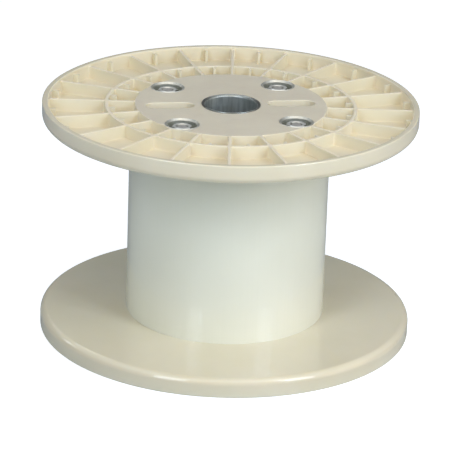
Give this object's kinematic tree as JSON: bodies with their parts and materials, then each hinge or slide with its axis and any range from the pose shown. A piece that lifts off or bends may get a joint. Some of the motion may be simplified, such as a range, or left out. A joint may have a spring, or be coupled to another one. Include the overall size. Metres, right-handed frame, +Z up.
{
  "type": "plastic cable reel",
  "caption": "Empty plastic cable reel: two ribbed ivory flanges clamped on a smooth white barrel by steel tie rods, with steel-bushed arbor bores and drive slots.",
  "frame": {"origin": "centre of the circle on which the lower flange's rim stands", "axes": "+Z up along the reel's axis; +X through the two drive slots; the four tie rods lie at 45 degrees to X and Y"},
  "size_m": [0.4, 0.4, 0.253],
  "materials": {
    "flange_plastic": "glossy ivory moulded plastic",
    "barrel_plastic": "satin white plastic tube",
    "bush_steel": "turned steel, dull inside the bore",
    "cup_steel": "zinc plated pressed steel",
    "nut_steel": "zinc plated steel",
    "rod_steel": "plain rolled steel"
  },
  "bodies": {
    "root": {"flange_lower": "flange_plastic", "flange_upper": "flange_plastic", "barrel_tube": "barrel_plastic", "arbor_bush_lower": "bush_steel", "arbor_bush_upper": "bush_steel", "tie_rod_1": "rod_steel", "tie_rod_2": "rod_steel", "tie_rod_3": "rod_steel", "tie_rod_4": "rod_steel", "bolt_cup_lower_1": "cup_steel", "bolt_cup_upper_1": "cup_steel", "bolt_cup_lower_2": "cup_steel", "bolt_cup_upper_2": "cup_steel", "bolt_cup_lower_3": "cup_steel", "bolt_cup_upper_3": "cup_steel", "bolt_cup_lower_4": "cup_steel", "bolt_cup_upper_4": "cup_steel", "nut_lower_1": "nut_steel", "nut_upper_1": "nut_steel", "nut_lower_2": "nut_steel", "nut_upper_2": "nut_steel", "nut_lower_3": "nut_steel", "nut_upper_3": "nut_steel", "nut_lower_4": "nut_steel", "nut_upper_4": "nut_steel"}
  },
  "joints": []
}
